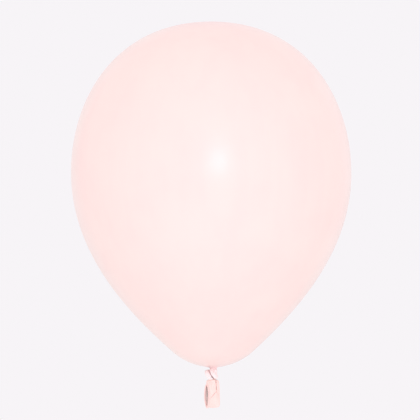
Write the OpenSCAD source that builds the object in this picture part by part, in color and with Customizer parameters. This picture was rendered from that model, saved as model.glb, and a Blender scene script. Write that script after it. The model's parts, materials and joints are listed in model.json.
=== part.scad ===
// Party balloon of dipped latex, blown up and closed with an overhand knot.
// +Z runs up through the bulb. The origin is on its axis, at the waist of the neck.
// The front is -Y. The open mouth of the tail faces -X and a little forward.

/* [Bulb] */
// Widest diameter of the bulb
bulb_d = 280; // [200:1:350]
// Height of the bulb, from its round base to its crown
bulb_h = 345; // [285:1:420]
// Height of the widest ring above the base
widest_h = 194; // [150:1:235]
// Thickness of the stretched wall
bulb_wall = 0.4; // [0.3:0.05:0.8]
// Radius of the round base
base_r = 60; // [45:1:75]
// Angle from the axis at which the round base runs into the flank
base_arc = 42; // [30:1:55]
// How far the flank keeps the slope of the base's edge
flank_start = 56; // [5:1:70]
// How far the flank stays upright below the widest ring
flank_end = 81; // [50:1:100]
// How far the shoulder stays upright above the widest ring
shoulder_rise = 74; // [40:1:90]
// How far the crown stays level out from the axis
crown_reach = 96; // [50:1:120]

/* [Neck] */
// Radius of the throat, where the bulb runs into the neck
throat_r = 4.2; // [3.8:0.1:6]
// Radius of the waist that a ribbon is tied round
waist_r = 3.2; // [2.4:0.1:3.4]
// Height of the waist's straight length
waist_h = 1.2; // [0.8:0.1:2]
// Height of the bulb's base above the middle of the waist
base_rise = 1.6; // [1.5:0.1:4]

/* [Knot] */
// Height of the knot
knot_h = 9.4; // [8.5:0.1:13]
// Radius of the knot's core
knot_r = 5.6; // [5.2:0.1:8]
// Thickness of the strand that wraps the core
strand_d = 5.2; // [3.5:0.1:6.2]
// Radius of the wrap, to the middle of its strand
wrap_r = 4.2; // [3.6:0.1:6]
// Slope of the wrap, down to the right
wrap_slope = 30; // [0:1:35]

/* [Tail] */
// Radius of the gathered roll that joins the tail to the knot
gather_r = 2.8; // [2:0.1:3]
// Half of the gathered roll's length
gather_reach = 3.2; // [2.9:0.1:3.6]
// Depth of the tail, from its gathered top to its lowest point
tail_drop = 26; // [20:0.5:34]
// Width of the tail's gathered top
root_w = 8.8; // [8:0.1:12]
// Thickness of the tail's gathered top
root_t = 6; // [5:0.1:8]
// How far the tail swells out to the right of the axis
swell = 7; // [6:0.1:13]
// Distance from the axis out to the mouth's upper corner
mouth_out = 7.4; // [6.5:0.1:11]
// Drop from the tail's gathered top to the mouth's upper corner
mouth_step = 2; // [1.5:0.1:6]
// Distance from the axis out to the mouth's lower corner
mouth_low_out = 6.6; // [0:0.1:8]
// Thickness of the tail across its mouth
mouth_t = 8; // [7:0.1:12]
// Turn of the mouth from the side towards the front
mouth_turn = 35; // [0:1:40]
// Thickness of the tail's unstretched wall
tail_wall = 0.6; // [0.4:0.1:1]
// Thickness of the bead rolled round the mouth
lip_d = 2; // [1.2:0.1:3]

/* [Bends] */
// Clearance between two pieces that bend against each other
gap = 0.3; // [0.2:0.05:0.5]
// Furthest that the knot may sway under the neck
sway_deg = 25; // [10:1:30]
// Furthest that the gathered roll may tip under the knot
tip_deg = 45; // [30:1:50]

/* [Hidden] */
$fn = 64;
latex = [0.996, 0.925, 0.91];
latex_folded = [0.98, 0.86, 0.84];
latex_rolled = [0.96, 0.8, 0.78];
margin = 1;

// The neck's foot is as much wider than the waist as its sway needs
foot_r = (waist_r + gap) / cos(sway_deg) - gap;
socket_r = foot_r + gap;
sway_z = -waist_h / 2 - socket_r * sin(sway_deg) / 3;

// The gathered roll sits in a cradle under the knot, as deep as its tipping leaves room for
knot_mid_z = sway_z - knot_h / 2;
cradle_r = gather_r + gap;
bend_z = sway_z - knot_h - cradle_r * sin(tip_deg);
dish_r = gather_reach + gap;
tail_top_z = bend_z - dish_r / 4;

function bezier(p, t) =
    pow(1 - t, 3) * p[0] + 3 * pow(1 - t, 2) * t * p[1]
    + 3 * (1 - t) * pow(t, 2) * p[2] + pow(t, 3) * p[3];

function slope(p, t) =
    pow(1 - t, 2) * (p[1] - p[0]) + 2 * (1 - t) * t * (p[2] - p[1]) + pow(t, 2) * (p[3] - p[2]);

function backwards(list) = [for (i = [len(list) - 1 : -1 : 0]) list[i]];

// Outline of the bulb, from the throat to the crown
base_steps = 8;
flank_steps = 16;
crown_steps = 20;
arc_end = base_r * [sin(base_arc), 1 - cos(base_arc)];
flank = [
    arc_end,
    arc_end + flank_start * [cos(base_arc), sin(base_arc)],
    [bulb_d / 2, widest_h - flank_end],
    [bulb_d / 2, widest_h]
];
crown = [
    [bulb_d / 2, widest_h],
    [bulb_d / 2, widest_h + shoulder_rise],
    [crown_reach, bulb_h],
    [0, bulb_h]
];

// Points along a curve, each moved square off it to its left
function set_in(curve, steps, inset) = [
    for (i = [1 : steps])
        let (along = slope(curve, i / steps))
        bezier(curve, i / steps) + inset / norm(along) * [-along[1], along[0]]
];

function bulb_outline(inset) =
    let (r = base_r - inset, throat_deg = asin(throat_r / r))
    concat(
        [
            for (i = [0 : base_steps])
                let (a = throat_deg + (base_arc - throat_deg) * i / base_steps)
                [r * sin(a), base_r - r * cos(a)]
        ],
        set_in(flank, flank_steps, inset),
        set_in(crown, crown_steps, inset)
    );

module bulb() {
    color(latex)
        translate([0, 0, base_rise])
            rotate_extrude()
                polygon(concat(bulb_outline(0), backwards(bulb_outline(bulb_wall))));
}

// The neck fills the throat, draws in to the waist and ends in a rounded foot
function throat_z(r) = base_rise + base_r - sqrt(pow(r, 2) - pow(throat_r, 2));

module neck() {
    color(latex_folded) {
        rotate_extrude()
            polygon([
                [0, sway_z],
                [waist_r, sway_z],
                [waist_r, waist_h / 2],
                [throat_r, throat_z(base_r)],
                [throat_r, throat_z(base_r - bulb_wall)],
                [0, throat_z(base_r - bulb_wall)]
            ]);
        translate([0, 0, sway_z])
            intersection() {
                rotate([90, 0, 0])
                    cylinder(r = foot_r, h = 2 * foot_r + margin, center = true);
                translate([0, 0, -foot_r - margin])
                    cylinder(r = foot_r, h = foot_r + margin);
            }
    }
}

// The knot is a round core with one strand wrapped across it
core_fullness = 3;
core_steps = 24;
core_outline = [
    for (i = [0 : core_steps])
        let (a = -90 + 180 * i / core_steps, power = 2 / core_fullness)
        [knot_r * pow(cos(a), power), knot_h / 2 * sign(sin(a)) * pow(abs(sin(a)), power)]
];

module knot() {
    color(latex_folded)
        difference() {
            translate([0, 0, knot_mid_z]) {
                rotate_extrude()
                    polygon(core_outline);
                rotate([0, wrap_slope, 0])
                    rotate_extrude()
                        translate([wrap_r, 0])
                            circle(d = strand_d);
            }
            translate([0, 0, sway_z])
                rotate([90, 0, 0])
                    cylinder(r = socket_r, h = 2 * (foot_r + gap), center = true);
            translate([0, 0, bend_z])
                rotate([0, 90, 0])
                    cylinder(r = cradle_r, h = 2 * (knot_r + strand_d), center = true);
        }
}

// A roll of gathered latex, round across X for the tip and round all over for the swing
module tail_collar() {
    color(latex_folded)
        translate([0, 0, bend_z])
            intersection() {
                rotate([0, 90, 0])
                    cylinder(r = gather_r, h = 2 * gather_reach, center = true);
                sphere(r = gather_reach);
            }
}

// The tail is a flattened tube that turns from its gathered top round to the open mouth
tail_steps = 20;
tail_sides = 36;
pocket_start = 0.4;
mouth_bottom_z = tail_top_z - tail_drop;
inner_edge = [
    [-root_w / 2, tail_top_z],
    [-root_w / 2, tail_top_z - mouth_step * 0.7],
    [-(root_w / 2 + mouth_out) / 2, tail_top_z - mouth_step],
    [-mouth_out, tail_top_z - mouth_step]
];
outer_edge = [
    [root_w / 2, tail_top_z],
    [swell * 1.15, tail_top_z - tail_drop * 0.2],
    [swell * 1.45, mouth_bottom_z],
    [-mouth_low_out, mouth_bottom_z]
];

// One ring of the tail: the share t of the way from its top to its mouth, set in by the wall
function tail_ring(t, inset) =
    let (
        p = bezier(inner_edge, t),
        q = bezier(outer_edge, t),
        middle = (p + q) / 2,
        along = (q - p) / norm(q - p),
        long_r = norm(q - p) / 2 - inset,
        short_r = (root_t + (mouth_t - root_t) * sin(90 * t)) / 2 - inset,
        turn = mouth_turn * pow(t, 2)
    )
    [
        for (i = [0 : tail_sides - 1])
            let (
                a = 360 * i / tail_sides,
                out = long_r * cos(a),
                back = short_r * sin(a)
            )
            [
                middle[0] + out * along[0] - back * sin(turn),
                back * cos(turn),
                middle[1] + out * along[1]
            ]
    ];

// A solid through rings of equal size, either capped at both ends or joined end to end
module through_rings(rings, closed) {
    sides = len(rings[0]);
    count = len(rings);
    walls = [
        for (k = [0 : closed ? count - 1 : count - 2], i = [0 : sides - 1])
            let (
                here = k * sides,
                next = (k + 1) % count * sides,
                j = (i + 1) % sides
            )
            each [[here + i, here + j, next + i], [here + j, next + j, next + i]]
    ];
    caps = [
        [for (i = [sides - 1 : -1 : 0]) i],
        [for (i = [0 : sides - 1]) (count - 1) * sides + i]
    ];
    polyhedron(
        points = [for (ring = rings) each ring],
        faces = closed ? walls : concat(walls, caps)
    );
}

module tail() {
    outer = [for (k = [0 : tail_steps]) tail_ring(k / tail_steps, 0)];
    inner = [
        for (k = [tail_steps : -1 : ceil(pocket_start * tail_steps)])
            tail_ring(k / tail_steps, tail_wall)
    ];
    color(latex)
        difference() {
            through_rings(concat(outer, inner), closed = false);
            translate([0, 0, bend_z])
                rotate([90, 0, 0])
                    cylinder(r = dish_r, h = 2 * root_t, center = true);
        }
}

// The bead stands on the flat edge of the mouth and is round on its free side
lip_sides = 10;

module rolled_lip() {
    edge = tail_ring(1, tail_wall / 2);
    middle = (edge[0] + edge[tail_sides / 2]) / 2;
    long_way = edge[0] - middle;
    short_way = edge[tail_sides / 4] - middle;
    outward = cross(short_way, long_way) / norm(cross(short_way, long_way));
    lift = lip_d / 4;
    foot_deg = asin(2 * lift / lip_d);
    rings = [
        for (i = [0 : tail_sides - 1])
            let (
                a = 360 * i / tail_sides,
                off = norm(short_way) / norm(long_way) * cos(a) * long_way
                    + norm(long_way) / norm(short_way) * sin(a) * short_way
            )
            [
                for (k = [0 : lip_sides])
                    let (b = -foot_deg + (180 + 2 * foot_deg) * k / lip_sides)
                    edge[i] + lip_d / 2 * cos(b) * off / norm(off)
                        + (lift + lip_d / 2 * sin(b)) * outward
            ]
    ];
    color(latex_rolled)
        through_rings(rings, closed = true);
}

bulb();
neck();
knot();
tail_collar();
tail();
rolled_lip();
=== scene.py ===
import json
import math
import bpy
import numpy as np
from mathutils import Matrix, Vector, noise


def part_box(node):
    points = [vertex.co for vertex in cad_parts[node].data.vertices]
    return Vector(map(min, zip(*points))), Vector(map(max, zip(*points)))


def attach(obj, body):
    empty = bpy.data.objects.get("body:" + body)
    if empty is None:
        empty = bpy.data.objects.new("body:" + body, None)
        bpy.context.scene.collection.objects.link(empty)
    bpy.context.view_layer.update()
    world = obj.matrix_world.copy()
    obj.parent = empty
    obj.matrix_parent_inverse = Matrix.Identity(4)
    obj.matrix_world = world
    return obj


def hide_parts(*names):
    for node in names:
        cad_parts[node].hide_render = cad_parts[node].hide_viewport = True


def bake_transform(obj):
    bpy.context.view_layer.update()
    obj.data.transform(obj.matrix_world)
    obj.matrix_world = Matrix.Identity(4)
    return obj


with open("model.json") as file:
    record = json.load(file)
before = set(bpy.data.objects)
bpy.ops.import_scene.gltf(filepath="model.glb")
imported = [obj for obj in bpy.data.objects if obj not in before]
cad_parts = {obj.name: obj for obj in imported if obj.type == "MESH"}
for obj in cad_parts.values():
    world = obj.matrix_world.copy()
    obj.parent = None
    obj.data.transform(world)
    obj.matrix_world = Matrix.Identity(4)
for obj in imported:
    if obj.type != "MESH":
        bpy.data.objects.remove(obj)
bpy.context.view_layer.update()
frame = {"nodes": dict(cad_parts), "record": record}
print("frame loaded:", ", ".join(sorted(frame["nodes"])))

scene = bpy.context.scene
scene.view_settings.view_transform = "Standard"
mm = 0.001


# Places that every piece is worked out from

bulbLow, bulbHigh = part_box("bulb")
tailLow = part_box("tail")[0]
jointAt = {joint["name"]: Vector(joint["pos_m"]) for joint in frame["record"]["behaviour"]["joints"]}
swayAt = jointAt["knot_sway"]
bendAt = jointAt["tail_swing"]


# Small helpers

def selectNone():
    bpy.ops.object.select_all(action="DESELECT")
    bpy.context.view_layer.objects.active = None


def selectOnly(piece):
    selectNone()
    piece.select_set(True)
    bpy.context.view_layer.objects.active = piece


def nameIt(piece, name):
    piece.name = name
    piece.data.name = name
    return piece


def smoothStep(low, high, value):
    t = min(max((value - low) / (high - low), 0), 1)
    return t * t * (3 - 2 * t)


def throughPoints(points, t):
    # a smooth line through all the points, t from 0 to 1
    spans = len(points) - 1
    i = min(int(t * spans), spans - 1)
    s = t * spans - i
    b, c = Vector(points[i]), Vector(points[i + 1])
    a = Vector(points[i - 1]) if i > 0 else 2 * b - c
    d = Vector(points[i + 2]) if i + 2 <= spans else 2 * c - b
    return 0.5 * (2 * b + (c - a) * s + (2 * a - 5 * b + 4 * c - d) * s ** 2
                  + (3 * b - a - 3 * c + d) * s ** 3)


def pleatWave(piece, turn, wander):
    # round-backed pleats with sharp valleys, unevenly spaced and sunk a little into the surface
    return abs(math.sin(piece["pleats"] / 2 * turn + piece["wander"] * wander)) - piece["sunk"]


def closeUp(piece, gap=0.01 * mm):
    # seams and poles are joined, then every face is turned outwards
    selectOnly(piece)
    bpy.ops.object.mode_set(mode="EDIT")
    bpy.ops.mesh.select_all(action="SELECT")
    bpy.ops.mesh.remove_doubles(threshold=gap)
    bpy.ops.mesh.dissolve_degenerate(threshold=gap)
    bpy.ops.mesh.select_all(action="SELECT")
    bpy.ops.mesh.normals_make_consistent(inside=False)
    bpy.ops.object.mode_set(mode="OBJECT")
    bpy.ops.object.shade_smooth()


def rolledSheet(name, sides, rows, place):
    # a flat grid rolled into a tube: u runs round it and v along it, both from 0 to 1
    selectNone()
    bpy.ops.mesh.primitive_grid_add(x_subdivisions=sides, y_subdivisions=rows, size=2)
    sheet = nameIt(bpy.context.active_object, name)
    for vertex in sheet.data.vertices:
        vertex.co = place(0.5 + vertex.co.x / 2, 0.5 + vertex.co.y / 2)
    closeUp(sheet)
    return sheet


def applyModifier(piece, kind, **settings):
    selectOnly(piece)
    modifier = piece.modifiers.new(kind.title(), kind)
    for key, value in settings.items():
        setattr(modifier, key, value)
    bpy.ops.object.modifier_apply(modifier=modifier.name)


def largestPart(piece):
    # crumbs that a cut leaves behind are thrown away
    selectOnly(piece)
    bpy.ops.mesh.separate(type="LOOSE")
    parts = sorted(bpy.context.selected_objects, key=lambda part: len(part.data.vertices))
    for crumb in parts[:-1]:
        bpy.data.objects.remove(crumb)
    return nameIt(parts[-1], parts[-1].name.split(".")[0])


def markCreases(piece, scales):
    # the mesh's own hollows and ridges, kept as a colour from 0 (hollow) to 1 (ridge);
    # each scale is how many rounds of blur it takes and how deep a full hollow is
    mesh = piece.data
    count = len(mesh.vertices)
    place = np.empty(count * 3)
    mesh.vertices.foreach_get("co", place)
    place = place.reshape(-1, 3)
    normal = np.empty(count * 3)
    mesh.vertices.foreach_get("normal", normal)
    normal = normal.reshape(-1, 3)
    ends = np.empty(len(mesh.edges) * 2, int)
    mesh.edges.foreach_get("vertices", ends)
    starts, stops = ends.reshape(-1, 2).T
    degree = np.maximum(np.bincount(ends, minlength=count), 1)
    blurred = place.copy()
    level = np.full(count, 0.5)
    done = 0
    for rounds, depth in scales:
        for _ in range(rounds - done):
            for axis in range(3):
                value = blurred[:, axis]
                total = np.bincount(starts, value[stops], count)
                total += np.bincount(stops, value[starts], count)
                blurred[:, axis] = (value + total / degree) / 2
        done = rounds
        level += ((place - blurred) * normal).sum(axis=1) / depth / 2
    layer = mesh.attributes.new("relief", "FLOAT", "POINT")
    layer.data.foreach_set("value", np.clip(level, 0, 1).astype(np.float32))


# Camera, lights, background and floor

view = {"distance": 2.5, "side": -0.0016, "height": 0.1586, "seen": 0.42, "roll": 0.6,
        "sensor": 36, "nearest": 0.1, "furthest": 60}
back = {"colour": (0.930, 0.905, 0.930), "light": 1.16}
keyBox = {"distance": 3.0, "right": 5.2, "up": 7.7,
          "width": 0.56, "height": 0.62, "power": 6.4, "gloss": True}
fillBox = {"distance": 1.9, "right": 0, "up": -22,
           "width": 2.2, "height": 0.5, "power": 4.9, "gloss": False}
rimStrip = {"distance": 3.0, "right": 142, "up": 4,
            "width": 0.5, "height": 2.6, "power": 0.4, "gloss": True}
lampColour = (0.97, 0.96, 1.15)
ground = {"radius": 6, "height": -0.9, "colour": (0.85, 0.857, 0.847), "rough": 0.8}


def addCamera():
    bpy.ops.object.camera_add(location=(view["side"], -view["distance"], view["height"]),
                              rotation=(math.pi / 2, 0, 0))
    camera = nameIt(bpy.context.active_object, "camera")
    camera.rotation_euler.rotate_axis("Z", math.radians(-view["roll"]))
    camera.data.sensor_width = view["sensor"]
    camera.data.lens = view["sensor"] * view["distance"] / view["seen"]
    camera.data.clip_start = view["nearest"]
    camera.data.clip_end = view["furthest"]
    scene.camera = camera


def addSoftbox(name, box):
    middle = Vector((0, 0, (bulbLow[2] + bulbHigh[2]) / 2))
    right, up = math.radians(box["right"]), math.radians(box["up"])
    towards = Vector((math.sin(right) * math.cos(up), -math.cos(right) * math.cos(up), math.sin(up)))
    bpy.ops.object.light_add(type="AREA", location=middle + towards * box["distance"])
    lamp = nameIt(bpy.context.active_object, name)
    lamp.rotation_euler = towards.to_track_quat("Z", "Y").to_euler()
    lamp.data.shape = "RECTANGLE"
    lamp.data.size = box["width"]
    lamp.data.size_y = box["height"]
    lamp.data.energy = box["power"]
    lamp.data.color = lampColour
    lamp.visible_camera = False
    lamp.visible_glossy = box["gloss"]


def addBackground():
    world = bpy.data.worlds.new("paleStudio")
    scene.world = world
    world.use_nodes = True
    nodes, links = world.node_tree.nodes, world.node_tree.links
    shader = nodes["Background"]
    shader.inputs["Color"].default_value = (*back["colour"], 1)
    path = nodes.new("ShaderNodeLightPath")
    strength = nodes.new("ShaderNodeMapRange")
    strength.inputs["To Min"].default_value = 1
    strength.inputs["To Max"].default_value = back["light"]
    links.new(path.outputs["Is Diffuse Ray"], strength.inputs["Value"])
    links.new(strength.outputs["Result"], shader.inputs["Strength"])


def addFloor():
    bpy.ops.mesh.primitive_circle_add(vertices=96, radius=ground["radius"], fill_type="NGON",
                                      location=(0, 0, ground["height"]))
    floor = nameIt(bpy.context.active_object, "floor")
    bpy.ops.object.transform_apply(location=True)
    paint = bpy.data.materials.new("paleFloor")
    paint.use_nodes = True
    shader = paint.node_tree.nodes["Principled BSDF"]
    shader.inputs["Base Color"].default_value = (*ground["colour"], 1)
    shader.inputs["Roughness"].default_value = ground["rough"]
    floor.data.materials.append(paint)


addCamera()
addSoftbox("keySoftbox", keyBox)
addSoftbox("lowFill", fillBox)
addSoftbox("rimStrip", rimStrip)
addBackground()
addFloor()
print("camera, lights and floor made")


# Latex, in one recipe with settings for each zone of the skin

stretched = {
    "pale": (0.935, 0.731, 0.676), "deep": (0.930, 0.636, 0.612),
    # inside is the painted shade in the tail's mouth, a grey, and shadow is the painted shade in the
    # deepest creases
    "inside": (0.46, 0.485, 0.475), "shadow": (0.4, 0.31, 0.31),
    "rough": 0.34, "roughSpread": 0.04, "coat": 0.45, "coatRough": 0.24,
    "cloud": 22, "streak": 60, "grain": 1500, "bump": 0.02, "relief": False,
}
gathered = dict(stretched, pale=(0.955, 0.85, 0.83), deep=(0.92, 0.64, 0.61), rough=0.36, coat=0.15,
                cloud=220, streak=500, grain=4000, bump=0.08, relief=True)
loose = dict(gathered, pale=(0.94, 0.725, 0.66), deep=(0.92, 0.56, 0.50), rough=0.4, coat=0.1)
rolled = dict(gathered, pale=(0.94, 0.675, 0.625), deep=(0.91, 0.54, 0.49), rough=0.38)


patterns = {  # where each pattern starts and is full, and what it gives there
    "cloud": (0.35, 0.7, 0, 0.16), "streak": (0.4, 0.7, 0, 0.1), "speck": (0.72, 0.78, 0, 0.2),
    "hollow": (0.1, 0.55, 0.7, 0), "shadow": (0, 0.25, 0.8, 0), "rough": (0.3, 0.7),
    "speckColour": (0.95, 0.84, 0.82), "streakStretch": (1, 1, 0.08), "bumpDepth": 0.1 * mm,
}


def latex(name, look, deepSpots=()):
    paint = bpy.data.materials.new(name)
    paint.use_nodes = True
    nodes, links = paint.node_tree.nodes, paint.node_tree.links
    shader = nodes["Principled BSDF"]
    shader.inputs["IOR"].default_value = 1.5
    shader.inputs["Coat Weight"].default_value = look["coat"]
    shader.inputs["Coat Roughness"].default_value = look["coatRough"]
    place = nodes.new("ShaderNodeTexCoord").outputs["Object"]

    def cloudiness(scale, detail, stretch=(1, 1, 1)):
        turned = nodes.new("ShaderNodeMapping")
        turned.inputs["Scale"].default_value = stretch
        links.new(place, turned.inputs["Vector"])
        cloud = nodes.new("ShaderNodeTexNoise")
        cloud.inputs["Scale"].default_value = scale
        cloud.inputs["Detail"].default_value = detail
        links.new(turned.outputs["Vector"], cloud.inputs["Vector"])
        return cloud.outputs["Fac"]

    def spread(value, low, high, toLow, toHigh):
        node = nodes.new("ShaderNodeMapRange")
        node.interpolation_type = "SMOOTHSTEP"
        for key, number in (("From Min", low), ("From Max", high), ("To Min", toLow), ("To Max", toHigh)):
            node.inputs[key].default_value = number
        links.new(value, node.inputs["Value"])
        return node.outputs["Result"]

    def added(a, b):
        node = nodes.new("ShaderNodeMath")
        node.operation = "ADD"
        node.use_clamp = True
        links.new(a, node.inputs[0])
        links.new(b, node.inputs[1])
        return node.outputs["Value"]

    def mixed(factor, a, b):
        node = nodes.new("ShaderNodeMix")
        node.data_type = "RGBA"
        links.new(factor, node.inputs["Factor"])
        for key, value in (("A", a), ("B", b)):
            socket = next(s for s in node.inputs if s.name == key and s.type == "RGBA")
            if isinstance(value, tuple):
                socket.default_value = (*value, 1)
            else:
                links.new(value, socket)
        return next(s for s in node.outputs if s.type == "RGBA")

    # cloudy patches and faint streaks from the dipping
    clouds = cloudiness(look["cloud"], 3)
    streaks = cloudiness(look["streak"], 2, patterns["streakStretch"])
    depth = added(spread(clouds, *patterns["cloud"]), spread(streaks, *patterns["streak"]))
    for spot, reach, amount in deepSpots:
        away = nodes.new("ShaderNodeVectorMath")
        away.operation = "DISTANCE"
        away.inputs[1].default_value = spot
        links.new(place, away.inputs[0])
        depth = added(depth, spread(away.outputs["Value"], 0, reach, amount, 0))
    # painted shade: the mesh's hollows get more of the deep colour, and the deepest go towards the shadow
    # colour
    if look["relief"]:
        layer = nodes.new("ShaderNodeAttribute")
        layer.attribute_name = "relief"
        depth = added(depth, spread(layer.outputs["Fac"], *patterns["hollow"]))
    colour = mixed(depth, look["pale"], look["deep"])
    if look["relief"]:
        colour = mixed(spread(layer.outputs["Fac"], *patterns["shadow"]), colour, look["shadow"])
        # painted shade: the tail's mouth is painted with the inside grey on its inner wall
        mouthShade = nodes.new("ShaderNodeAttribute")
        mouthShade.attribute_name = "mouthShade"
        colour = mixed(mouthShade.outputs["Fac"], colour, look["inside"])
    # dust-fine specks, a little paler
    specks = spread(cloudiness(look["grain"] / 2, 1), *patterns["speck"])
    colour = mixed(specks, colour, patterns["speckColour"])
    links.new(colour, shader.inputs["Base Color"])
    rough = spread(clouds, *patterns["rough"], look["rough"] - look["roughSpread"],
                   look["rough"] + look["roughSpread"])
    links.new(rough, shader.inputs["Roughness"])
    bump = nodes.new("ShaderNodeBump")
    bump.inputs["Strength"].default_value = look["bump"]
    bump.inputs["Distance"].default_value = patterns["bumpDepth"]
    links.new(cloudiness(look["grain"], 2), bump.inputs["Height"])
    links.new(bump.outputs["Normal"], shader.inputs["Normal"])
    return paint


# Bulb: an outline drawn as one curve and spun round the axis

bulb = {
    "baseRadius": 60 * mm, "baseArc": math.radians(42), "flankStart": 56 * mm, "flankEnd": 81 * mm,
    "widestHeight": 194 * mm, "shoulderRise": 74 * mm, "crownReach": 96 * mm,
    "throat": 4.2 * mm, "segments": 180, "resolution": 44,
    "pleats": 26, "pleatReach": 15 * mm, "pleatDepth": 0.22 * mm, "sunk": 0.6,
    "wander": 5, "curl": 0.12 / mm, "plugRise": 0.6 * mm,
    "deepAtThroat": (0.024, 1.0), "deepAtCrown": (0.075, 0.95),
}
throatDip = bulb["baseRadius"] - math.sqrt(bulb["baseRadius"] ** 2 - bulb["throat"] ** 2)


def makeBulb():
    radius = bulbHigh[0]
    low = bulbLow[2] - throatDip
    arc, base = bulb["baseArc"], bulb["baseRadius"]
    start = math.asin(bulb["throat"] / base)
    pull = 4 / 3 * math.tan((arc - start) / 4) * base
    throat = Vector((bulb["throat"], 0, low + base - base * math.cos(start)))
    arcEnd = Vector((base * math.sin(arc), 0, low + base - base * math.cos(arc)))
    arcWay = Vector((math.cos(arc), 0, math.sin(arc)))
    throatWay = Vector((math.cos(start), 0, math.sin(start)))
    widest = Vector((radius, 0, low + bulb["widestHeight"]))
    crown = Vector((0, 0, bulbHigh[2]))
    plug = Vector((0, 0, throat.z + bulb["plugRise"]))
    corners = [  # place, handle before, handle after
        (plug, plug, plug + Vector((bulb["throat"] / 2, 0, 0))),
        (throat, throat - throatWay * mm, throat + throatWay * pull),
        (arcEnd, arcEnd - arcWay * pull, arcEnd + arcWay * bulb["flankStart"]),
        (widest, widest - Vector((0, 0, bulb["flankEnd"])), widest + Vector((0, 0, bulb["shoulderRise"]))),
        (crown, crown + Vector((bulb["crownReach"], 0, 0)), crown),
    ]
    selectNone()
    bpy.ops.curve.primitive_bezier_curve_add()
    skin = nameIt(bpy.context.active_object, "bulbSkin")
    spline = skin.data.splines[0]
    spline.bezier_points.add(len(corners) - 2)
    spline.resolution_u = bulb["resolution"]
    for point, (co, before, after) in zip(spline.bezier_points, corners):
        point.handle_left_type = point.handle_right_type = "FREE"
        point.co, point.handle_left, point.handle_right = co, before, after
    bpy.ops.object.convert(target="MESH")
    bpy.ops.object.mode_set(mode="EDIT")
    bpy.ops.mesh.select_all(action="SELECT")
    bpy.ops.mesh.spin(steps=bulb["segments"], angle=2 * math.pi, center=(0, 0, 0), axis=(0, 0, 1))
    bpy.ops.object.mode_set(mode="OBJECT")
    closeUp(skin)
    # soft pleats that fan out of the throat and die away up the base
    for vertex in skin.data.vertices:
        x, y, z = vertex.co
        away = math.hypot(x, y)
        if z > low + base or away > bulb["pleatReach"]:
            continue
        turn = math.atan2(y, x)
        wander = noise.noise(Vector((3 * math.cos(turn), 3 * math.sin(turn), 0)))
        wave = math.cos(bulb["pleats"] * turn + bulb["wander"] * wander + bulb["curl"] * away)
        fade = 1 - smoothStep(bulb["throat"], bulb["pleatReach"] * (0.75 + 0.4 * wander), away)
        vertex.co.z += bulb["pleatDepth"] * fade * (wave - bulb["sunk"])
    skin.data.materials.append(latex("stretchedLatex", stretched, [
        ((0, 0, throat.z), *bulb["deepAtThroat"]), (tuple(crown), *bulb["deepAtCrown"])]))
    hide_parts("bulb")
    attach(skin, "envelope")
    return throat


throatAt = makeBulb()
print("bulb made")


creaseFade = {"from": 0.6, "loss": 0.6}


def creaseDepth(place, lines):
    # how deep the lines are pressed in at a place, both in millimetres and seen from the front;
    # a line is its start, its end, its depth and its width, and it gets shallower near its end
    deepest = 0
    here = Vector((place.x, place.z))
    for start, end, depth, width in lines:
        a, b = Vector(start), Vector(end)
        t = min(max((here - a).dot(b - a) / (b - a).length_squared, 0), 1)
        gap = (here - a - (b - a) * t).length
        left = 1 - creaseFade["loss"] * smoothStep(creaseFade["from"], 1, t)
        deepest = max(deepest, depth * math.exp(-(gap / width) ** 2) * left)
    return deepest


def darken(piece, lines, amount):
    # little light gets down into the front's creases
    relief = piece.data.attributes["relief"].data
    for vertex in piece.data.vertices:
        if vertex.co.y < 0:
            item = relief[vertex.index]
            item.value = max(0, item.value - amount * creaseDepth(vertex.co / mm, lines))


# Neck: a short stem of twisted pleats, from the bulb's base down into the knot

neck = {
    "outline": [(0, 2.6), (4.4, 2.35), (6.6, 2.0), (4.9, 1.55), (3.75, 0.9), (3.3, 0),
                (3.2, -1.2), (2.8, -2.6), (0, -3.6)],
    "pleats": 15, "depth": 0.34, "sunk": 0.6, "twist": math.radians(70), "wander": 2.5,
    "stemFull": 3, "flangeFrom": (4, 6.4), "flangeLess": 0.75, "sides": 150, "rows": 70,
    "bendAbove": 1.4 * mm, "bendBelow": 1.2 * mm,
    "hollows": [(10, 0.25 * mm), (40, 0.9 * mm)], "deepAtTop": (0.009, 0.9),
}


def neckPlace(u, v):
    radius, height = throughPoints([(*p, 0) for p in neck["outline"]], v).to_2d()
    radius = max(radius, 0)
    turn = 2 * math.pi * u
    twisted = turn + neck["twist"] * v
    wander = noise.noise(Vector((2 * math.cos(twisted), 2 * math.sin(twisted), v)))
    wave = pleatWave(neck, twisted, wander)
    shallower = 1 - neck["flangeLess"] * smoothStep(*neck["flangeFrom"], radius)
    depth = neck["depth"] * smoothStep(0, neck["stemFull"], radius) * shallower
    radius += wave * depth
    return Vector((radius * math.cos(turn), radius * math.sin(turn), height)) * mm


def makeNeck():
    skin = rolledSheet("neckStem", neck["sides"], neck["rows"], neckPlace)
    markCreases(skin, neck["hollows"])
    skin.data.materials.append(latex("gatheredLatex", gathered, [
        ((0, 0, throatAt.z), *neck["deepAtTop"])]))
    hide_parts("neck")
    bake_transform(skin)


makeNeck()
print("neck made")


# Knot: one strand comes down the front, goes once round the back and crosses the front again

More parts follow.
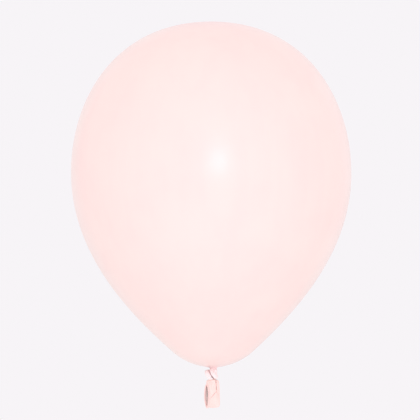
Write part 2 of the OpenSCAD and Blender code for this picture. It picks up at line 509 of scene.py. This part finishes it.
knot = {
    "middle": Vector((-2.0, 0, -5.7)),
    "route": [
        (2.0, 1.2, 5.2), (1.2, 0.0, 4.6), (0.6, -1.9, 3.9), (0.9, -3.3, 2.4), (1.9, -3.9, 0.4),
        (3.4, -3.2, -1.6), (4.4, -1.2, -2.4), (4.3, 1.2, -2.3), (2.7, 3.4, -1.4), (-0.2, 4.2, 0.2),
        (-3.0, 3.2, 1.8), (-4.5, 0.8, 2.7), (-4.4, -1.6, 2.2), (-3.5, -2.9, 0.2), (-2.3, -2.8, -2.0),
        (-0.6, -1.6, -3.6), (1.6, -0.2, -4.2),
    ],
    "halfWidth": 2.5, "halfThick": 2.05, "pleats": 13, "depth": 0.46, "sunk": 0.6, "wander": 3,
    "sides": 104, "rows": 460, "step": 1 / 600, "ends": 0.02, "bulges": 16, "bulge": 0.05,
    "voxel": 0.13 * mm, "seat": 3.4 * mm, "seatLength": 2.6, "wrinkle": 0.09,
    "sway": math.radians(25.5), "clear": 0.42 * mm, "soft": 1.2 * mm,
    "coreAt": (-1.2, 0.3, -6.4), "core": (4.3, 3.6, 3.9), "weld": 0.002 * mm,
    "creases": [((-4.0, -1.4), (-1.6, -7.2), 0.65, 0.5), ((-1.8, -6.8), (0.8, -10.2), 1.1, 0.5)],
    "darker": 0.4, "hollows": [(14, 0.4 * mm), (110, 0.85 * mm)],
}
stem = {  # the neck's own end, which the strand is wrapped round
    "outline": [(0, 0.2), (2.5, -0.3), (3.3, -1.4), (3.4, -3.2), (3.1, -5.4), (2.2, -7.4), (0, -8.2)],
    "at": Vector((0.55, 0.1, 0)), "pleats": 14, "depth": 0.34, "sunk": 0.6, "full": 2.4,
    "twist": 1.2, "wander": 2.5, "rows": 60,
}


def strandPlace(u, v):
    here = throughPoints(knot["route"], v)
    ahead = throughPoints(knot["route"], min(v + knot["step"], 1))
    behind = throughPoints(knot["route"], max(v - knot["step"], 0))
    along = (ahead - behind).normalized()
    outward = Vector((here.x, here.y + 0.001, here.z * 0.3))
    outward = (outward - along * outward.dot(along)).normalized()
    across = along.cross(outward)
    turn = 2 * math.pi * u
    wander = noise.noise(Vector((1.4 * math.cos(turn), 1.4 * math.sin(turn), 7 * v)))
    wave = pleatWave(knot, turn, wander)
    full = smoothStep(0, knot["ends"], v) * (1 - smoothStep(1 - knot["ends"], 1, v))
    bulges = 1 + knot["bulge"] * math.sin(knot["bulges"] * v)
    size = full * bulges + knot["depth"] * wave / knot["halfWidth"] * full
    off = across * (knot["halfWidth"] * size * math.cos(turn))
    off += outward * (knot["halfThick"] * size * math.sin(turn))
    return (knot["middle"] + here + off) * mm


def stemPlace(u, v):
    radius, height = throughPoints([(*p, 0) for p in stem["outline"]], v).to_2d()
    turn = 2 * math.pi * u
    twisted = turn + stem["twist"] * v
    wander = noise.noise(Vector((2 * math.cos(twisted), 2 * math.sin(twisted), 4 + v)))
    wave = pleatWave(stem, twisted, wander)
    radius = max(radius, 0) + stem["depth"] * wave * smoothStep(0, stem["full"], radius)
    here = Vector((radius * math.cos(turn), radius * math.sin(turn), height))
    return (stem["at"] + here) * mm


def bulbOverlap(place):
    # how far the place would reach into the bulb's round base while the knot sways
    centre = Vector((0, 0, bulbLow[2] - throatDip + bulb["baseRadius"]))
    deepest = 0
    for swing in (-knot["sway"], 0, knot["sway"]):
        away = place - swayAt
        away.rotate(Matrix.Rotation(swing, 3, "Y"))
        reach = bulb["baseRadius"] + knot["clear"] - (swayAt + away - centre).length
        soft = knot["soft"]
        pushed = reach if reach > soft else max(reach + soft, 0) ** 2 / (4 * soft)
        deepest = max(deepest, pushed)
    return deepest


def makeKnot():
    inner = rolledSheet("innerStem", knot["sides"], stem["rows"], stemPlace)
    strand = rolledSheet("knotWraps", knot["sides"], knot["rows"], strandPlace)
    bpy.ops.mesh.primitive_uv_sphere_add(segments=48, ring_count=24, radius=mm,
                                         location=Vector(knot["coreAt"]) * mm)
    bpy.context.active_object.scale = knot["core"]
    inner.select_set(True)
    strand.select_set(True)
    bpy.context.view_layer.objects.active = strand
    bpy.ops.object.join()
    applyModifier(strand, "REMESH", mode="VOXEL", voxel_size=knot["voxel"])
    # the gathered tail turns in a long round hollow under the knot
    bpy.ops.mesh.primitive_uv_sphere_add(segments=64, ring_count=32, radius=knot["seat"],
                                         location=bendAt)
    cutter = bpy.context.active_object
    cutter.scale.x = knot["seatLength"]
    applyModifier(strand, "BOOLEAN", operation="DIFFERENCE", object=cutter, solver="EXACT")
    bpy.data.objects.remove(cutter)
    applyModifier(strand, "REMESH", mode="VOXEL", voxel_size=knot["voxel"])
    strand = largestPart(strand)
    applyModifier(strand, "SMOOTH", factor=0.5, iterations=2)
    offsets = []
    for vertex in strand.data.vertices:
        x, y, z = vertex.co / mm
        lift = knot["wrinkle"] * noise.noise(Vector((2.4 * x, 2.4 * y, 0.9 * z)))
        offset = vertex.normal * lift
        if vertex.normal.y < 0 and y < -1:
            offset.y += creaseDepth(vertex.co / mm, knot["creases"])
        offsets.append(offset * mm)
    for vertex, offset in zip(strand.data.vertices, offsets):
        vertex.co += offset
        vertex.co.z -= bulbOverlap(vertex.co)
    closeUp(strand, knot["weld"])
    markCreases(strand, knot["hollows"])
    darken(strand, knot["creases"], knot["darker"])
    strand.data.materials.append(latex("knottedLatex", gathered))
    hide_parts("knot")
    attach(strand, "knot")


makeKnot()
print("knot made")


# Collar: the gathered latex that turns under the knot

collar = {
    "radius": 3.1, "pleats": 16, "depth": 0.3, "sunk": 0.6, "wander": 3, "flat": 0.68,
    "hollows": [(8, 0.2 * mm)],
}


def makeCollar():
    bpy.ops.mesh.primitive_uv_sphere_add(segments=144, ring_count=48, radius=collar["radius"] * mm,
                                         location=bendAt)
    ball = nameIt(bpy.context.active_object, "tailCollar")
    bpy.ops.object.transform_apply(location=True)
    for vertex in ball.data.vertices:
        away = vertex.co - bendAt
        turn = math.atan2(away.y, away.x)
        wander = noise.noise(Vector((2 * math.cos(turn), 2 * math.sin(turn), away.z / mm * 0.2)))
        wave = pleatWave(collar, turn, wander)
        flat = math.hypot(away.x, away.y) / (collar["radius"] * mm)
        away *= 1 + collar["depth"] / collar["radius"] * wave * flat
        away.y *= collar["flat"]
        vertex.co = bendAt + away
    closeUp(ball)
    markCreases(ball, collar["hollows"])
    ball.data.materials.append(latex("collarLatex", loose))
    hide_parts("tail_collar")
    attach(ball, "tail_root")


makeCollar()
print("collar made")


# Tail: a flattened tube that fans out of the knot and turns round to its open mouth

tailTop = bendAt.z / mm + 1.84  # both in millimetres
tailEnd = tailLow[2] / mm + 0.6
tail = {
    "inner": [(-2.45, tailTop), (-5.2, tailTop - 0.5), (-6.9, tailTop - 1.7),
              (-7.0, tailTop - 3.2), (-6.3, tailTop - 4.7)],
    "outer": [(2.45, tailTop), (5.0, tailTop - 1.5), (5.9, tailTop - 7), (6.2, tailTop - 14),
              (6.3, tailEnd + 5), (5.3, tailEnd + 0.8), (0, tailEnd - 0.1), (-6.3, tailEnd)],
    "topThick": 4.9, "mouthThick": 8, "turn": 32, "wall": 0.4, "pocketTop": 0.25,
    "pleats": 13, "pleatDepth": 0.42, "sunk": 0.5, "pleatsFull": 0.08, "pleatsEnd": (0.25, 0.85),
    "sag": 0.25, "wander": 3, "sides": 192, "rows": 190, "foldedAt": 0.62, "greyAt": 0.74,
    "paler": 0.45, "palerFrom": (-13 * mm, -5 * mm),
    "creases": [((2.4, -10.4), (2.7, -16.4), 1.05, 0.6), ((2.7, -15.4), (2.9, -22.6), 0.8, 0.6),
                ((2.9, -22.6), (-4.4, -31.0), 0.38, 0.75), ((2.9, -22.6), (5.2, -26.8), 0.45, 0.7)],
    "darker": 0.3, "hollows": [(10, 0.3 * mm), (80, 1.2 * mm)],
}


def ringMiddle(t):
    p = throughPoints([(*c, 0) for c in tail["inner"]], t)
    q = throughPoints([(*c, 0) for c in tail["outer"]], t)
    across = q - p
    return (p + q) / 2, across.normalized(), across.length / 2


def ringPoint(t, turn, inset):
    middle, along, longHalf = ringMiddle(t)
    thicker = (tail["mouthThick"] - tail["topThick"]) * math.sin(math.pi / 2 * t)
    shortHalf = (tail["topThick"] + thicker) / 2
    swing = math.radians(tail["turn"]) * t * t
    out = (longHalf - inset) * math.cos(turn)
    behind = (shortHalf - inset) * math.copysign(abs(math.sin(turn)) ** (1 + 0.25 * t), math.sin(turn))
    return Vector((middle.x + out * along.x - behind * math.sin(swing), behind * math.cos(swing),
                   middle.y + out * along.y))


def tailPlace(u, v):
    turn = 2 * math.pi * u
    if v < tail["foldedAt"]:
        t, inset = (v / tail["foldedAt"]) ** 1.1, 0
    else:
        t = 1 - (1 - tail["pocketTop"]) * (v - tail["foldedAt"]) / (1 - tail["foldedAt"])
        inset = tail["wall"]
    wander = noise.noise(Vector((1.6 * math.cos(turn), 1.6 * math.sin(turn), 3 * t)))
    wave = pleatWave(tail, turn, wander)
    fade = smoothStep(0, tail["pleatsFull"], t) * (1 - smoothStep(*tail["pleatsEnd"], t))
    pleat = tail["pleatDepth"] * wave * fade + tail["sag"] * wander * t
    point = ringPoint(t, turn, inset - pleat)
    if math.sin(turn) < 0:  # the front half
        point.y += creaseDepth(point, tail["creases"])
    if v >= 1 - 1e-6 or v <= 1e-6:
        middle = ringMiddle(t)[0]
        point = Vector((middle.x, 0, middle.y))
    return point * mm


def makeTail():
    skin = rolledSheet("tailSkin", tail["sides"], tail["rows"], tailPlace)
    markCreases(skin, tail["hollows"])
    darken(skin, tail["creases"], tail["darker"])
    # painted shade: the inner wall of the mouth is greyed, less of it higher up towards the knot
    layer = skin.data.uv_layers.active.data
    inside = np.zeros(len(skin.data.vertices), np.float32)
    for loop in skin.data.loops:
        v = layer[loop.index].uv.y
        height = skin.data.vertices[loop.vertex_index].co.z - bendAt.z
        grey = 1 - tail["paler"] * smoothStep(*tail["palerFrom"], height)
        inside[loop.vertex_index] = grey * smoothStep(tail["foldedAt"], tail["greyAt"], v)
    skin.data.attributes.new("mouthShade", "FLOAT", "POINT").data.foreach_set("value", inside)
    skin.data.materials.append(latex("looseLatex", loose))
    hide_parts("tail")
    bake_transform(skin)


makeTail()
print("tail made")


# Lip: the bead rolled round the mouth

lip = {
    "bead": 0.95, "uneven": 0.12, "stand": 0.2, "sides": 160, "round": 28,
    "groove": 0.16, "grooveAt": 2.2, "grooveWidth": 0.22, "grooveWander": 0.4,
    "probe": 0.3, "hollows": [(4, 0.2 * mm)],
}


def makeLip():
    bpy.ops.mesh.primitive_torus_add(major_segments=lip["sides"], minor_segments=lip["round"],
                                     major_radius=1, minor_radius=0.25)
    bead = nameIt(bpy.context.active_object, "rolledLip")
    wall = tail["wall"] / 2
    middle = (ringPoint(1, 0, wall) + ringPoint(1, math.pi, wall)) / 2
    longWay = ringPoint(1, 0, wall) - middle
    shortWay = ringPoint(1, math.pi / 2, wall) - middle
    outward = shortWay.cross(longWay).normalized()
    for vertex in bead.data.vertices:
        turn = math.atan2(vertex.co.y, vertex.co.x)
        rolledBy = math.atan2(vertex.co.z, math.hypot(vertex.co.x, vertex.co.y) - 1)
        wander = noise.noise(Vector((2 * math.cos(turn), 2 * math.sin(turn), 5)))
        edge = ringPoint(1, turn, wall - tail["sag"] * wander)
        outside = ringPoint(1, turn, wall - lip["probe"])
        off = (outside - ringPoint(1, turn, wall + lip["probe"])).normalized()
        fromGroove = rolledBy - lip["grooveAt"] - lip["grooveWander"] * wander
        groove = lip["groove"] * math.exp(-(fromGroove / lip["grooveWidth"]) ** 2)
        size = lip["bead"] * (1 + lip["uneven"] * wander) - groove
        vertex.co = (edge + off * size * math.cos(rolledBy)
                     + outward * (lip["stand"] + size * math.sin(rolledBy))) * mm
    closeUp(bead)
    markCreases(bead, lip["hollows"])
    bead.data.materials.append(latex("rolledLatex", rolled))
    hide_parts("rolled_lip")
    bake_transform(bead)


makeLip()
print("lip made")
